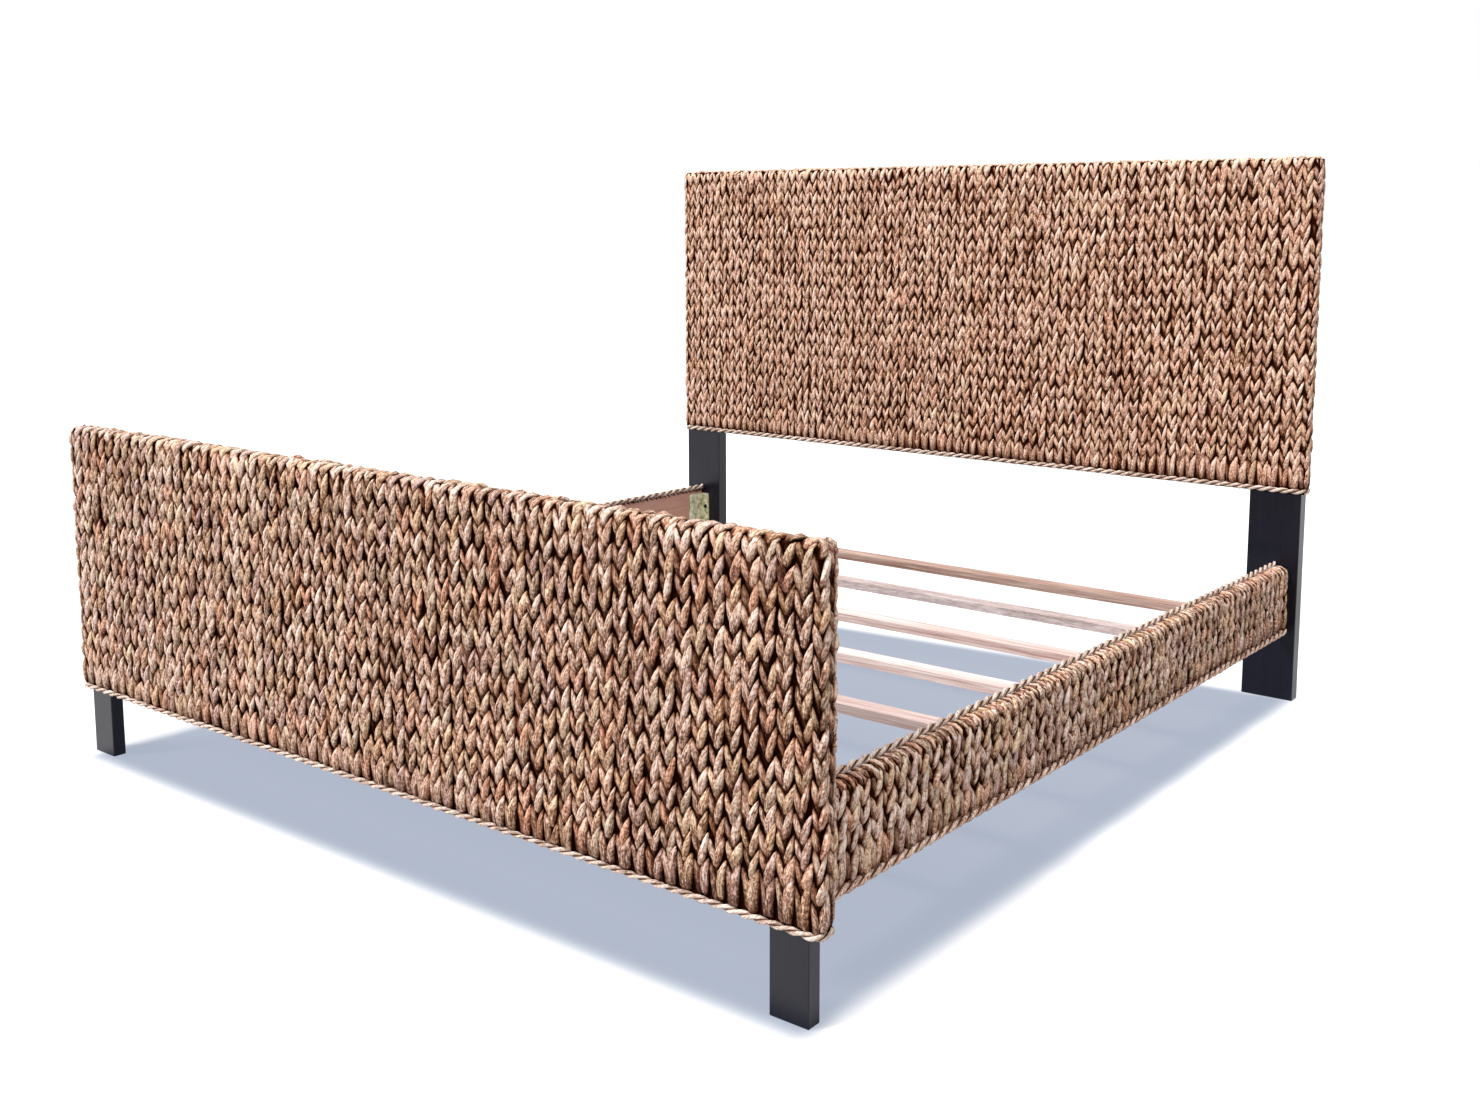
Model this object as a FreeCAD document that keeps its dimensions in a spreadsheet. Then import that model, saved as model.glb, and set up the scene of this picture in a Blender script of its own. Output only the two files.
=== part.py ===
import FreeCAD, Part
import os
import re
import Sketcher

# King panel bed. Two upright panels, each a hidden board frame faced with plywood and
# wrapped in plaited fibre, stand on flat board legs. Two wrapped side rails hook onto
# the legs and carry five slats on ledgers.
# +X is the right-hand side seen from the foot end, +Y points to the headboard, +Z is up.
# The origin is on the floor, below the middle of the bed.

doc = FreeCAD.newDocument("PanelBed")

sizes = [
    ("bedWidth", 2159.0, "overall width"),
    ("bedLength", 2133.6, "overall length"),
    ("headHeight", 1422.4, "top of the headboard above the floor"),
    ("footHeight", 766.0, "top of the footboard above the floor"),
    ("headGap", 560.0, "floor to the underside of the headboard"),
    ("footGap", 156.0, "floor to the underside of the footboard"),
    ("headLegWidth", 139.0, "headboard leg board, width"),
    ("headLegThick", 38.0, "headboard leg board, thickness"),
    ("footLegWidth", 78.0, "footboard leg board, width"),
    ("footLegThick", 28.8, "footboard leg board, thickness"),
    ("legRound", 2.0, "eased long edges of a leg"),
    ("legChamfer", 1.5, "chamfer round the underside of a leg"),
    ("headWeave", 6.4, "plait on a headboard face, thickness"),
    ("headEndWeave", 12.0, "plait on a headboard end, thickness"),
    ("headTopWeave", 8.0, "plait over the headboard top, thickness"),
    ("footWeave", 11.0, "plait on a footboard face, thickness"),
    ("footEndWeave", 11.0, "plait on a footboard end, thickness"),
    ("footTopWeave", 10.0, "plait over the footboard top, thickness"),
    ("footLathWidth", 17.0, "lath outside each footboard leg, width"),
    ("weaveRound", 18.0, "rounding of the wrapped panel edges"),
    ("headRope", 24.0, "height of the rope round the headboard's lower edge"),
    ("footRope", 22.0, "height of the rope round the footboard's lower edge"),
    ("ropeRound", 3.0, "rounding of those ropes"),
    ("plyThick", 3.0, "plywood skin of a panel frame"),
    ("crossWidth", 70.0, "cross board of a panel frame, height"),
    ("stileWidth", 60.0, "middle stile of a panel frame, width"),
    ("dowelRadius", 5.0, "frame dowel, radius"),
    ("dowelLength", 60.0, "frame dowel, length"),
    ("dowelInset", 17.0, "dowel axis from the edge of its board"),
    ("boreGap", 0.1, "clearance of a bore round its dowel, bolt or screw"),
    ("railSetback", 35.5, "wrapped face of a side rail in from the bed's side"),
    ("railWeave", 8.0, "plait on a rail's outer face, thickness"),
    ("railTopWeave", 7.0, "plait over a rail's top edge, thickness"),
    ("railThick", 28.0, "rail board, thickness"),
    ("railHeight", 170.0, "rail board, height"),
    ("railLift", 6.0, "underside of a rail board above the footboard's rope"),
    ("railRound", 14.0, "rounding of a rail's wrapped top edge"),
    ("railRopeRadius", 6.0, "rope along a rail, radius"),
    ("railRopeRise", 4.0, "axis of the lower rail rope above the rail's underside"),
    ("ropeSeat", 0.3, "rope to the face that it lies on"),
    ("cutGap", 2.0, "gap round a rail end where it passes the footboard's plait"),
    ("slatDrop", 15.0, "top of the slats below the top of the rail boards"),
    ("slatThick", 19.0, "slat, thickness"),
    ("slatWidth", 44.0, "slat, width"),
    ("slatPitch", 276.0, "slat to slat"),
    ("slatGap", 2.0, "end of a slat to the rail beside it"),
    ("ledgerWidth", 22.0, "ledger under the slats, width"),
    ("ledgerHeight", 30.0, "ledger under the slats, height"),
    ("ledgerEnd", 25.0, "ledger beyond the last slat"),
    ("leafThick", 3.0, "steel of an angle bracket"),
    ("leafLength", 64.0, "bracket leaf on the rail, length"),
    ("postLeaf", 34.0, "bracket leaf on the leg, width"),
    ("bracketHeight", 120.0, "bracket, height"),
    ("bracketDrop", 14.0, "top of a bracket below the top of the rail board"),
    ("leafInset", 13.0, "bracket screws from the edges of their leaf"),
    ("keyInset", 32.0, "keyhole's narrow end from the bracket's upper or lower edge"),
    ("keyDrop", 13.0, "keyhole's wide end below its narrow end"),
    ("keySlot", 4.3, "keyhole's narrow end, radius"),
    ("keyMouth", 7.6, "keyhole's wide end, radius"),
    ("boltRadius", 4.0, "hanger bolt, shank radius"),
    ("boltCover", 6.8, "wood left in a footboard leg beyond a hanger bolt"),
    ("boltHead", 6.8, "hanger bolt, head radius"),
    ("boltHeadThick", 3.0, "hanger bolt, head thickness"),
    ("boltSeat", 0.3, "bolt head to the bracket that hangs on it"),
    ("screwRadius", 2.1, "wood screw, shank radius"),
    ("screwHead", 4.2, "wood screw, head radius"),
    ("screwHeadThick", 2.4, "wood screw, head thickness"),
    ("screwCover", 9.0, "wood left beyond the tip of a screw"),
    ("overrun", 5.0, "how far a cutting shape runs past the piece"),
]

# places worked out from those sizes; the right-hand and head-end ones are given,
# and the others mirror them
places = {
    "headThick": "headLegThick + 2 * headWeave",
    "footThick": "footLegThick + 2 * footWeave",
    "headBack": "bedLength / 2",
    "headMiddle": "headBack - headThick / 2",
    "headFront": "headBack - headThick",
    "headLegBack": "headBack - headWeave",
    "headLegFront": "headFront + headWeave",
    "headLegOut": "bedWidth / 2 - headEndWeave",
    "headLegIn": "headLegOut - headLegWidth",
    "headLegTop": "headHeight - headTopWeave",
    "footFront": "-bedLength / 2",
    "footMiddle": "footFront + footThick / 2",
    "footBack": "footFront + footThick",
    "footLegFront": "footFront + footWeave",
    "footLegBack": "footBack - footWeave",
    "footLathOut": "bedWidth / 2 - footEndWeave",
    "footLegOut": "footLathOut - footLathWidth",
    "footLegIn": "footLegOut - footLegWidth",
    "footLegTop": "footHeight - footTopWeave",
    "railOut": "bedWidth / 2 - railSetback - railWeave",
    "railIn": "railOut - railThick",
    "railBottom": "footGap + footRope + railLift",
    "railTop": "railBottom + railHeight",
    "railMiddle": "(headLegFront + footLegBack) / 2",
    "lowRopeZ": "railBottom + railRopeRise",
    "lowRopeX": "railOut + railRopeRadius + ropeSeat",
    "topRopeZ": "railTop + railRopeRadius",
    "topRopeX": "railIn - railRopeRadius - ropeSeat",
    "slatTop": "railTop - slatDrop",
    "slatUnder": "slatTop - slatThick",
    "ledgerIn": "railIn - ledgerWidth",
    "ledgerReach": "2 * slatPitch + slatWidth / 2 + ledgerEnd",
    "bracketTop": "railTop - bracketDrop",
    "bracketLow": "bracketTop - bracketHeight",
    "leafIn": "railIn - leafThick",
    "leafNear": "headLegFront - leafLength",
    "postLeafIn": "railIn - postLeaf",
    "postLeafNear": "headLegFront - leafThick",
    "keyX": "railIn - postLeaf / 2 - leafThick / 2",
    "boltDepth": "footLegThick - boltCover",
    "bracketScrew": "leafThick + railThick - screwCover",
    "ledgerScrew": "ledgerWidth + railThick - screwCover",
    "slatScrew": "slatThick + ledgerHeight - screwCover",
}

numbers = {word: number for word, number, note in sizes}

sheet = doc.addObject("Spreadsheet::Sheet", "Sizes")
for row, (word, number, note) in enumerate(sizes, start=1):
    sheet.set(f"A{row}", note)
    sheet.set(f"B{row}", str(number))
    sheet.setAlias(f"B{row}", word)
doc.recompute()


def spell(text, known):
    # replaces each place by its own sum and each size by what known gives for it
    def swap(found):
        word = found.group()
        if word in places:
            return "(" + spell(places[word], known) + ")"
        return known(word)
    return re.sub(r"[A-Za-z]\w*", swap, text)


def formula(text):
    return spell(text, lambda word: "Sizes." + word)


def amount(text):
    plain = spell(text, lambda word: f"({numbers[word]})")
    return FreeCAD.Units.parseQuantity(plain).Value


# basic shapes

parts = []


def keep(piece, label):
    piece.Label = label
    parts.append(piece)
    return piece


def put(piece, x, y, z):
    for axis, text in (("x", x), ("y", y), ("z", z)):
        piece.setExpression("Placement.Base." + axis, formula(text))
    return piece


def block(name, x, y, z):
    # a rectangular piece between two places along each axis
    piece = doc.addObject("Part::Box", name)
    for side, (low, high) in (("Length", x), ("Width", y), ("Height", z)):
        piece.setExpression(side, formula(f"({high}) - ({low})"))
    return put(piece, x[0], y[0], z[0])


turns = {
    "+X": FreeCAD.Rotation(FreeCAD.Vector(0, 0, 1), FreeCAD.Vector(1, 0, 0)),
    "+Y": FreeCAD.Rotation(FreeCAD.Vector(0, 0, 1), FreeCAD.Vector(0, 1, 0)),
    "+Z": FreeCAD.Rotation(),
    "-Z": FreeCAD.Rotation(FreeCAD.Vector(1, 0, 0), 180),
}


def rod(name, way, radius, length, x, y, z):
    # a round bar that starts at x, y, z and runs the given way
    piece = doc.addObject("Part::Cylinder", name)
    piece.Placement = FreeCAD.Placement(FreeCAD.Vector(), turns[way])
    piece.setExpression("Radius", formula(radius))
    piece.setExpression("Height", formula(length))
    return put(piece, x, y, z)


def cone(name, way, wide, narrow, length, x, y, z):
    piece = doc.addObject("Part::Cone", name)
    piece.Placement = FreeCAD.Placement(FreeCAD.Vector(), turns[way])
    piece.setExpression("Radius1", formula(wide))
    piece.setExpression("Radius2", formula(narrow))
    piece.setExpression("Height", formula(length))
    return put(piece, x, y, z)


def joined(name, pieces):
    piece = doc.addObject("Part::MultiFuse", name)
    piece.Shapes = pieces
    return piece


def group(name, pieces):
    piece = doc.addObject("Part::Compound", name)
    piece.Links = pieces
    return piece


def cut(name, base, tool):
    piece = doc.addObject("Part::Cut", name)
    piece.Base = base
    piece.Tool = tool
    return piece


def mirrored(name, source, axis, place):
    # the twin of a piece, on the other side of a plane square to the axis
    piece = doc.addObject("Part::Mirroring", name)
    piece.Source = source
    piece.Normal = FreeCAD.Vector(*(1 if letter == axis else 0 for letter in "xyz"))
    if place != "0":
        piece.setExpression("Base." + axis, formula(place))
    return piece


def pair(name, right):
    # keeps a right-hand piece and its left-hand twin
    keep(right, name + "_right")
    keep(mirrored("Left_" + name, right, "x", "0"), name + "_left")
    return right


# sketched bodies

def sketched(name, x, y, z):
    return put(doc.addObject("PartDesign::Body", name), x, y, z)


def outlined(body, name, role, corners):
    # a closed outline, its corners given as sums measured from the body's own origin
    sketch = body.newObject("Sketcher::SketchObject", name)
    for plane in body.Origin.OriginFeatures:
        if plane.Role == role:
            sketch.AttachmentSupport = (plane, [""])
    sketch.MapMode = "FlatFace"
    points = [FreeCAD.Vector(amount(across), amount(along), 0) for across, along in corners]
    last = len(points) - 1
    for index, point in enumerate(points):
        after = points[0] if index == last else points[index + 1]
        sketch.addGeometry(Part.LineSegment(point, after), False)
    for index, corner in enumerate(corners):
        after = 0 if index == last else index + 1
        sketch.addConstraint(Sketcher.Constraint("Coincident", index, 2, after, 1))
        for kind, axis, text, place in (("DistanceX", -2, corner[0], points[index].x),
                                        ("DistanceY", -1, corner[1], points[index].y)):
            if text == "0":
                sketch.addConstraint(Sketcher.Constraint("PointOnObject", index, 1, axis))
                continue
            number = sketch.addConstraint(Sketcher.Constraint(kind, -1, 1, index, 1, place))
            label = f"{name}{kind[-1]}{index}"
            sketch.renameConstraint(number, label)
            sketch.setExpression("Constraints." + label, formula(text))
    return sketch


def rectangle(low, high):
    return [(low[0], low[1]), (high[0], low[1]), (high[0], high[1]), (low[0], high[1])]


def raised(body, name, sketch, length, backwards=False):
    pad = body.newObject("PartDesign::Pad", name)
    pad.Profile = sketch
    pad.Reversed = backwards
    pad.setExpression("Length", formula(length))
    sketch.Visibility = False
    doc.recompute()
    return pad


def hollowed(body, name, sketch, depth):
    # cuts upwards from the sketch and makes sure that something was cut
    before = body.Shape.Volume
    pocket = body.newObject("PartDesign::Pocket", name)
    pocket.Profile = sketch
    pocket.Reversed = True
    pocket.setExpression("Length", formula(depth))
    doc.recompute()
    if not body.Shape.Volume < before:
        raise RuntimeError(name + " cuts nothing")


tiny = Part.Precision.confusion()


def picked(shape, wanted):
    return [f"Edge{index}" for index, edge in enumerate(shape.Edges, start=1) if wanted(edge)]


def rounded(body, name, base, radius, wanted):
    # rounds the edges that wanted picks
    fillet = body.newObject("PartDesign::Fillet", name)
    fillet.Base = (base, picked(base.Shape, wanted))
    fillet.setExpression("Radius", formula(radius))
    doc.recompute()
    return fillet


def flat(edge, axis):
    box = edge.BoundBox
    return {"x": box.XLength, "y": box.YLength, "z": box.ZLength}[axis] < tiny


def upright(edge):
    return flat(edge, "x") and flat(edge, "y")


def topmost(edge, shape):
    return flat(edge, "z") and abs(edge.BoundBox.ZMax - shape.BoundBox.ZMax) < tiny


# dowels of a panel frame, with the bores that take them

dowelEnds = ("dowelInset", "crossWidth - dowelInset")
stileEnds = ("-stileWidth / 2 + dowelInset", "stileWidth / 2 - dowelInset")


def frameDowels(name, legIn, low, top, middle):
    # two dowels in each joint: cross boards to legs, and middle stiles to cross boards
    spots = []
    for board, base in (("Low", low), ("Top", f"{top} - crossWidth")):
        for side, middleX in (("Right", legIn), ("Left", f"-({legIn})")):
            for step, rise in enumerate(dowelEnds):
                spots.append((f"{board}{side}{step}", "+X", middleX, f"{base} + {rise}"))
    for board, height in (("Low", f"{low} + crossWidth"), ("Top", f"{top} - crossWidth")):
        for side, sign in (("Right", ""), ("Left", "-")):
            for step, shift in enumerate(stileEnds):
                middleX = f"{sign}({legIn}) / 3 + {shift}"
                spots.append((f"Stile{board}{side}{step}", "+Z", middleX, height))
    dowels = []
    bores = []
    for spot, way, x, z in spots:
        for kind, extra, found in (("Dowel", "", dowels), ("Bore", " + boreGap", bores)):
            half = f"(dowelLength / 2{extra})"
            startX = f"{x} - {half}" if way == "+X" else x
            startZ = f"{z} - {half}" if way == "+Z" else z
            found.append(rod(f"{name}{kind}{spot}", way, "dowelRadius" + extra,
                             f"2 * {half}", startX, middle, startZ))
    return group(name + "Dowels", dowels), group(name + "Bores", bores)


# hanger bolts: two in each leg, in line with the side rail; the head hangs clear of the bracket

keyHeights = ("bracketLow + keyInset", "bracketTop - keyInset")


def hangerBolts():
    bolts = []
    bores = []
    for step, z in enumerate(keyHeights):
        face = "postLeafNear - boltSeat"
        shank = rod(f"BoltShank{step}", "+Y", "boltRadius", "boltSeat + leafThick + boltDepth",
                    "keyX", face, z)
        head = rod(f"BoltHead{step}", "+Y", "boltHead", "boltHeadThick",
                   "keyX", f"{face} - boltHeadThick", z)
        bolts.append(joined(f"Bolt{step}", [shank, head]))
        bores.append(rod(f"BoltBore{step}", "+Y", "boltRadius + boreGap", "boltDepth + boreGap",
                         "keyX", "headLegFront", z))
    return bolts, group("BoltBores", bores)


bolts, headBoltBores = hangerBolts()
footBoltBores = mirrored("FootBoltBores", headBoltBores, "y", "railMiddle")


# legs

def leg(name, x, y, width, thick, length, bores):
    body = sketched(name + "Body", x, y, "0")
    plan = outlined(body, name + "Plan", "XY_Plane", rectangle(("0", "0"), (width, thick)))
    pad = raised(body, name + "Pad", plan, length)
    eased = rounded(body, name + "Eased", pad, "legRound", upright)
    chamfer = body.newObject("PartDesign::Chamfer", name + "Chamfer")
    chamfer.Base = (eased, picked(eased.Shape, lambda edge: edge.BoundBox.ZMax < tiny))
    chamfer.setExpression("Size", formula("legChamfer"))
    return cut(name, body, group(name + "Bores", bores))


# a wrapped cover: outside rounded, open below, hollow for the frame

def wrappedCover(name, y, thick, low, top, weave, endWeave, topWeave):
    body = sketched(name + "Body", "-bedWidth / 2", y, low)
    plan = outlined(body, name + "Plan", "XY_Plane", rectangle(("0", "0"), ("bedWidth", thick)))
    height = f"{top} - ({low})"
    pad = raised(body, name + "Pad", plan, height)
    rounded(body, name + "Rounded", pad, "weaveRound",
            lambda edge: upright(edge) or topmost(edge, pad.Shape))
    inside = outlined(body, name + "Inside", "XY_Plane",
                      rectangle((endWeave, weave), (f"bedWidth - {endWeave}", f"{thick} - {weave}")))
    hollowed(body, name + "Hollow", inside, f"{height} - {topWeave}")
    return body


# the rope that closes a cover's lower edge runs once round the panel

def ropeRing(name, y, thick, low, height, weave, endWeave):
    body = sketched(name + "Body", "-bedWidth / 2", y, low)
    plan = outlined(body, name + "Plan", "XY_Plane", rectangle(("0", "0"), ("bedWidth", thick)))
    pad = raised(body, name + "Pad", plan, height)
    corners = rounded(body, name + "Corners", pad, "weaveRound", upright)
    rounded(body, name + "Rounded", corners, "ropeRound", lambda edge: flat(edge, "z"))
    inside = outlined(body, name + "Inside", "XY_Plane",
                      rectangle((endWeave, weave), (f"bedWidth - {endWeave}", f"{thick} - {weave}")))
    hollowed(body, name + "Hollow", inside, height)
    return body


# panel frame: cross boards and middle stiles between the legs, with a plywood skin on each face

def panelFrame(name, legIn, legFront, legBack, low, top, bores):
    inner = (f"{legFront} + plyThick", f"{legBack} - plyThick")
    across = (f"-({legIn})", legIn)
    for board, z in (("bottom_cross_board", (low, f"{low} + crossWidth")),
                     ("top_cross_board", (f"{top} - crossWidth", top))):
        raw = block(name + board, across, inner, z)
        keep(cut(name + board + "Bored", raw, bores), f"{name}_{board}")
    for side, sign in (("right", ""), ("left", "-")):
        middleX = f"{sign}({legIn}) / 3"
        raw = block(name + side + "Stile", (f"{middleX} - stileWidth / 2", f"{middleX} + stileWidth / 2"),
                    inner, (f"{low} + crossWidth", f"{top} - crossWidth"))
        keep(cut(name + side + "StileBored", raw, bores), f"{name}_mid_stile_{side}")
    keep(block(name + "FrontPly", across, (legFront, f"{legFront} + plyThick"), (low, top)),
         name + "_front_plywood")
    keep(block(name + "BackPly", across, (f"{legBack} - plyThick", legBack), (low, top)),
         name + "_back_plywood")


# headboard

headDowels, headBores = frameDowels("Head", "headLegIn", "headGap", "headLegTop", "headMiddle")
keep(headDowels, "headboard_dowels")
pair("headboard_leg", leg("HeadLeg", "headLegIn", "headLegFront", "headLegWidth", "headLegThick",
                          "headLegTop", [headBores, headBoltBores]))
panelFrame("headboard", "headLegIn", "headLegFront", "headLegBack", "headGap", "headLegTop", headBores)
keep(wrappedCover("HeadCover", "headFront", "headThick", "headGap + headRope", "headHeight",
                  "headWeave", "headEndWeave", "headTopWeave"), "headboard_woven_cover")
keep(ropeRing("HeadRope", "headFront", "headThick", "headGap", "headRope", "headWeave", "headEndWeave"),
     "headboard_rope_trim")

# footboard; its plait is left open behind where each rail end meets the leg

footDowels, footBores = frameDowels("Foot", "footLegIn", "footGap", "footLegTop", "footMiddle")
keep(footDowels, "footboard_dowels")
pair("footboard_leg", leg("FootLeg", "footLegIn", "footLegFront", "footLegWidth", "footLegThick",
                          "footLegTop", [footBores, footBoltBores]))
pair("footboard_end_lath", block("EndLath", ("footLegOut", "footLathOut"), ("footLegFront", "footLegBack"),
                                 ("footGap", "footLegTop")))
panelFrame("footboard", "footLegIn", "footLegFront", "footLegBack", "footGap", "footLegTop", footBores)
wholeFootCover = wrappedCover("FootCover", "footFront", "footThick", "footGap + footRope", "footHeight",
                              "footWeave", "footEndWeave", "footTopWeave")
railWindow = block("RailWindow", ("postLeafIn - cutGap", "railOut + cutGap"),
                   ("footLegBack", "footBack + overrun"), ("railBottom - cutGap", "railTop + cutGap"))
railWindows = group("RailWindows", [railWindow, mirrored("LeftRailWindow", railWindow, "x", "0")])
keep(cut("FootCoverOpened", wholeFootCover, railWindows), "footboard_woven_cover")
keep(ropeRing("FootRope", "footFront", "footThick", "footGap", "footRope", "footWeave", "footEndWeave"),
     "footboard_rope_trim")

# screws with round heads, square to a rail's inner face; the head sits on what it holds

def railScrews(name, spots, face, length):
    screws = []
    bores = []
    for step, (y, z) in enumerate(spots):
        shank = rod(f"{name}Shank{step}", "+X", "screwRadius", length, face, y, z)
        head = rod(f"{name}Head{step}", "+X", "screwHead", "screwHeadThick",
                   f"{face} - screwHeadThick", y, z)
        screws.append(joined(f"{name}{step}", [shank, head]))
        bores.append(rod(f"{name}Bore{step}", "+X", "screwRadius + boreGap", f"{length} + boreGap",
                         face, y, z))
    return screws, group(name + "Bores", bores)


# five screws in each bracket: the corners of the leaf and its middle
leafRows = ("bracketLow + leafInset", "bracketTop - leafInset")
leafSpots = [(y, z) for y in ("leafNear + leafInset", "headLegFront - leafInset") for z in leafRows]
leafSpots.append(("(leafNear + headLegFront) / 2", "(bracketLow + bracketTop) / 2"))
bracketScrews, headScrewBores = railScrews("BracketScrew", leafSpots, "leafIn", "bracketScrew")
footScrewBores = mirrored("FootScrewBores", headScrewBores, "y", "railMiddle")

# ledger screws stand midway between the slats
slatSteps = (-2, -1, 0, 1, 2)
ledgerSpots = [(f"railMiddle + slatPitch * {step} + slatPitch / 2", "slatUnder - ledgerHeight / 2")
               for step in slatSteps[:-1]]
ledgerScrews, ledgerBores = railScrews("LedgerScrew", ledgerSpots, "ledgerIn", "ledgerScrew")

# slat screws are sunk flush, one at each end of a slat, over the ledger
slatScrews = []
slatBores = []
for step in slatSteps:
    spot = ("railIn - ledgerWidth / 2", f"railMiddle + slatPitch * {step}", "slatTop")
    number = step - slatSteps[0]
    slatScrews.append(joined(f"SlatScrew{number}", [
        cone(f"SlatScrewHead{number}", "-Z", "screwHead", "screwRadius", "screwHeadThick", *spot),
        rod(f"SlatScrewShank{number}", "-Z", "screwRadius", "slatScrew", *spot)]))
    slatBores.append(joined(f"SlatBore{number}", [
        cone(f"SlatSink{number}", "-Z", "screwHead + boreGap", "screwRadius + boreGap",
             "screwHeadThick", *spot),
        rod(f"SlatHole{number}", "-Z", "screwRadius + boreGap", "slatScrew + boreGap", *spot)]))
slatBores = group("SlatBores", slatBores)

# side rails

railBoard = block("RailBoard", ("railIn", "railOut"), ("footLegBack", "headLegFront"),
                  ("railBottom", "railTop"))
railBores = group("RailBores", [headScrewBores, footScrewBores, ledgerBores])
pair("side_rail_board", cut("RailBoardBored", railBoard, railBores))


def railCover():
    # lies on the outer face and over the top edge, from the footboard to the headboard's leg
    body = sketched("RailCoverBody", "railIn", "footBack", "0")
    low = "lowRopeZ + railRopeRadius + ropeSeat"
    top = "railTop + railTopWeave"
    face = "railThick + railWeave"
    section = outlined(body, "RailCoverSection", "XZ_Plane",
                       [("0", "railTop"), ("railThick", "railTop"), ("railThick", low),
                        (face, low), (face, top), ("0", top)])
    pad = raised(body, "RailCoverPad", section, "headLegFront - footBack", backwards=True)
    shape = pad.Shape
    reach = shape.BoundBox.XMax
    rounded(body, "RailCoverRounded", pad, "railRound",
            lambda edge: topmost(edge, shape) and flat(edge, "x") and edge.BoundBox.XMax == reach)
    return body


pair("side_rail_woven_cover", railCover())
ropeRun = "headLegFront - footBack - 2 * ropeSeat"
pair("side_rail_top_rope", rod("TopRope", "+Y", "railRopeRadius", ropeRun,
                               "topRopeX", "footBack + ropeSeat", "topRopeZ"))
pair("side_rail_bottom_rope", rod("LowRope", "+Y", "railRopeRadius", ropeRun,
                                  "lowRopeX", "footBack + ropeSeat", "lowRopeZ"))

ledger = block("Ledger", ("ledgerIn", "railIn"), ("railMiddle - ledgerReach", "railMiddle + ledgerReach"),
               ("slatUnder - ledgerHeight", "slatUnder"))
pair("slat_ledger", cut("LedgerBored", ledger, group("LedgerCuts", [ledgerBores, slatBores])))

# slats, counted from the foot end

bothSlatBores = group("BothSlatBores", [slatBores, mirrored("LeftSlatBores", slatBores, "x", "0")])
for step in slatSteps:
    number = step - slatSteps[0] + 1
    middleY = f"railMiddle + slatPitch * {step}"
    slat = block(f"Slat{number}", ("-(railIn - slatGap)", "railIn - slatGap"),
                 (f"{middleY} - slatWidth / 2", f"{middleY} + slatWidth / 2"), ("slatUnder", "slatTop"))
    keep(cut(f"SlatBored{number}", slat, bothSlatBores), f"slat_{number}")


# angle brackets: one leaf is screwed to the rail, the other hangs on the leg's bolts by keyholes

def keyhole(number, z):
    start = "postLeafNear - overrun"
    through = "leafThick + 2 * overrun"
    slot = block(f"KeyNeck{number}", ("keyX - keySlot", "keyX + keySlot"),
                 (start, f"{start} + {through}"), (f"{z} - keyDrop", z))
    return joined(f"Keyhole{number}", [
        slot,
        rod(f"KeyTop{number}", "+Y", "keySlot", through, "keyX", start, z),
        rod(f"KeyMouth{number}", "+Y", "keyMouth", through, "keyX", start, f"{z} - keyDrop")])


def angleBracket():
    body = sketched("BracketBody", "postLeafIn", "leafNear", "bracketLow")
    plan = outlined(body, "BracketPlan", "XY_Plane", [
        ("0", "leafLength - leafThick"), ("postLeaf - leafThick", "leafLength - leafThick"),
        ("postLeaf - leafThick", "0"), ("postLeaf", "0"), ("postLeaf", "leafLength"),
        ("0", "leafLength")])
    raised(body, "BracketPad", plan, "bracketHeight")
    keyholes = [keyhole(number, z) for number, z in enumerate(keyHeights)]
    return cut("Bracket", body, group("BracketCuts", [headScrewBores] + keyholes))


headBracket = angleBracket()
pair("head_rail_bracket", headBracket)
pair("foot_rail_bracket", mirrored("FootBracket", headBracket, "y", "railMiddle"))


# the same screws and bolts at all four corners

def atFourCorners(name, pieces):
    right = group(name + "Right", pieces)
    rightFoot = mirrored(name + "RightFoot", right, "y", "railMiddle")
    left = mirrored(name + "Left", right, "x", "0")
    leftFoot = mirrored(name + "LeftFoot", rightFoot, "x", "0")
    return group(name + "Set", [right, rightFoot, left, leftFoot])


def atBothSides(name, pieces):
    right = group(name + "Right", pieces)
    return group(name + "Set", [right, mirrored(name + "Left", right, "x", "0")])


keep(atFourCorners("BracketScrews", bracketScrews), "bracket_screws")
keep(atFourCorners("Bolts", bolts), "hanger_bolts")
keep(atBothSides("LedgerScrews", ledgerScrews), "ledger_screws")
keep(atBothSides("SlatScrews", slatScrews), "slat_screws")

# every object must have been built, and every piece must be a sound solid

doc.recompute()
for thing in doc.Objects:
    if "Invalid" in thing.State or "Error" in thing.State:
        raise RuntimeError(thing.Label + " was not built")
for piece in parts:
    if piece.Shape.isNull() or not piece.Shape.isValid() or not piece.Shape.Solids:
        raise RuntimeError(piece.Label + " is not a sound solid")

os.makedirs("parts", exist_ok=True)
for piece in parts:
    piece.Shape.exportStep(f"parts/{piece.Label}.step")
print(len(parts), "pieces written")
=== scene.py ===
import math
import bmesh
import bpy
import numpy as np
from mathutils import Matrix, Vector


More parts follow.
